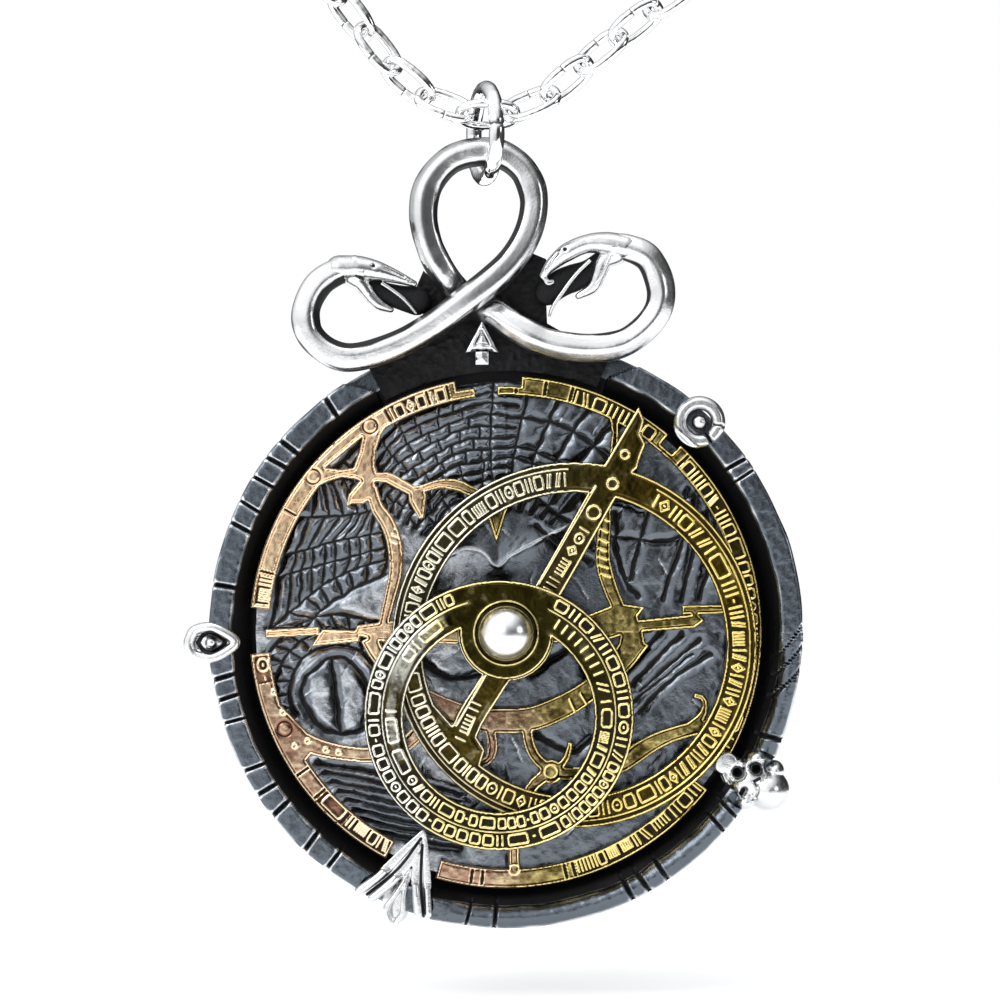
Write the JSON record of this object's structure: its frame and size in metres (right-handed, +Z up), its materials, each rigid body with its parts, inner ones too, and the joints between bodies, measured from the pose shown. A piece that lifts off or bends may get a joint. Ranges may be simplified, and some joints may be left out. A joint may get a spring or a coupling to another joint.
{
  "type": "astrolabe pendant",
  "caption": "Astrolabe pendant: round cast case with a serpent bail, pierced brass plates turning on a domed rivet over an engraved ground, on a jump ring and chain links.",
  "frame": {"origin": "top of the bail loop, at the middle of its wire, where the jump ring pulls", "axes": "+Z up the hanging pendant, -Y out of the dial towards the viewer, +X to the viewer's right"},
  "size_m": [0.0474, 0.0089, 0.0754],
  "materials": {
    "pewter_oxidised": "antiqued cast pewter, dark oxide in the hollows, worn bright on the edges",
    "pewter_engraved": "dark gunmetal with cut grooves, soft sheen",
    "pewter_polished": "hand-polished cast pewter with blackened recesses",
    "silver_plate": "bright silver plate",
    "copper_brass_etched": "etched sheet, rose copper to gold, dark recesses and bright raised lines",
    "brass_etched": "etched brass sheet, olive-black recesses and bright gold raised lines"
  },
  "bodies": {
    "mater": {"mater_case": "pewter_oxidised", "throne_web": "pewter_oxidised", "tympan_plate": "pewter_engraved", "arrow_index": "pewter_polished", "eye_boss": "pewter_polished", "stud_bezel": "pewter_polished", "skull_boss": "pewter_polished", "feather_boss": "pewter_polished", "serpent_left": "pewter_polished", "serpent_right": "pewter_polished", "base_washer": "brass_etched", "spacer_washer": "brass_etched", "upper_washer": "brass_etched", "rivet": "silver_plate"},
    "rete": {"rete": "copper_brass_etched"},
    "rule": {"rule_ring": "brass_etched"},
    "label": {"label_ring": "brass_etched"},
    "jump_ring": {"jump_ring": "silver_plate"},
    "link_centre": {"chain_link_centre": "silver_plate"},
    "link_left_1": {"chain_link_left_1": "silver_plate"},
    "link_left_2": {"chain_link_left_2": "silver_plate"},
    "link_left_3": {"chain_link_left_3": "silver_plate"},
    "link_left_4": {"chain_link_left_4": "silver_plate"},
    "link_left_5": {"chain_link_left_5": "silver_plate"},
    "link_right_1": {"chain_link_right_1": "silver_plate"},
    "link_right_2": {"chain_link_right_2": "silver_plate"},
    "link_right_3": {"chain_link_right_3": "silver_plate"},
    "link_right_4": {"chain_link_right_4": "silver_plate"},
    "link_right_5": {"chain_link_right_5": "silver_plate"}
  },
  "joints": [
    {"name": "rete_turn", "type": "hinge", "parent": "mater", "child": "rete", "pos_m": [0.00216, 0.0006, -0.03706], "axis": [0, -1, 0], "continuous": true},
    {"name": "rule_turn", "type": "hinge", "parent": "mater", "child": "rule", "pos_m": [0.00216, -0.0011, -0.03706], "axis": [0, -1, 0], "continuous": true},
    {"name": "label_turn", "type": "hinge", "parent": "mater", "child": "label", "pos_m": [0.00216, -0.00215, -0.03706], "axis": [0, -1, 0], "continuous": true},
    {"name": "jump_ring_swing", "type": "hinge", "parent": "mater", "child": "jump_ring", "pos_m": [0, 0, 0], "axis": [1, 0, 0], "range_deg": [-25, 25]},
    {"name": "chain_seat_swing", "type": "hinge", "parent": "jump_ring", "child": "link_centre", "pos_m": [0.00066, 0, 0.00384], "axis": [0, -1, 0], "range_deg": [-6, 6]},
    {"name": "link_left_1_bend", "type": "hinge", "parent": "link_centre", "child": "link_left_1", "pos_m": [-0.00096, 0, 0.00289], "axis": [0, -1, 0], "range_deg": [-3, 12]},
    {"name": "link_left_2_bend", "type": "hinge", "parent": "link_left_1", "child": "link_left_2", "pos_m": [-0.00415, 0, 0.00422], "axis": [0, -1, 0], "range_deg": [-3, 12]},
    {"name": "link_left_3_bend", "type": "hinge", "parent": "link_left_2", "child": "link_left_3", "pos_m": [-0.0067, 0, 0.00656], "axis": [0, -1, 0], "range_deg": [-8, 8]},
    {"name": "link_left_4_bend", "type": "hinge", "parent": "link_left_3", "child": "link_left_4", "pos_m": [-0.00874, 0, 0.00933], "axis": [0, -1, 0], "range_deg": [-12, 12]},
    {"name": "link_left_5_bend", "type": "hinge", "parent": "link_left_4", "child": "link_left_5", "pos_m": [-0.01085, 0, 0.01203], "axis": [0, -1, 0], "range_deg": [-12, 12]},
    {"name": "link_right_1_bend", "type": "hinge", "parent": "link_centre", "child": "link_right_1", "pos_m": [0.00248, 0, 0.00289], "axis": [0, -1, 0], "range_deg": [-12, 3]},
    {"name": "link_right_2_bend", "type": "hinge", "parent": "link_right_1", "child": "link_right_2", "pos_m": [0.00562, 0, 0.00434], "axis": [0, -1, 0], "range_deg": [-12, 3]},
    {"name": "link_right_3_bend", "type": "hinge", "parent": "link_right_2", "child": "link_right_3", "pos_m": [0.00818, 0, 0.00667], "axis": [0, -1, 0], "range_deg": [-12, 12]},
    {"name": "link_right_4_bend", "type": "hinge", "parent": "link_right_3", "child": "link_right_4", "pos_m": [0.0108, 0, 0.00888], "axis": [0, -1, 0], "range_deg": [-12, 12]},
    {"name": "link_right_5_bend", "type": "hinge", "parent": "link_right_4", "child": "link_right_5", "pos_m": [0.01352, 0, 0.01098], "axis": [0, -1, 0], "range_deg": [-12, 12]}
  ]
}
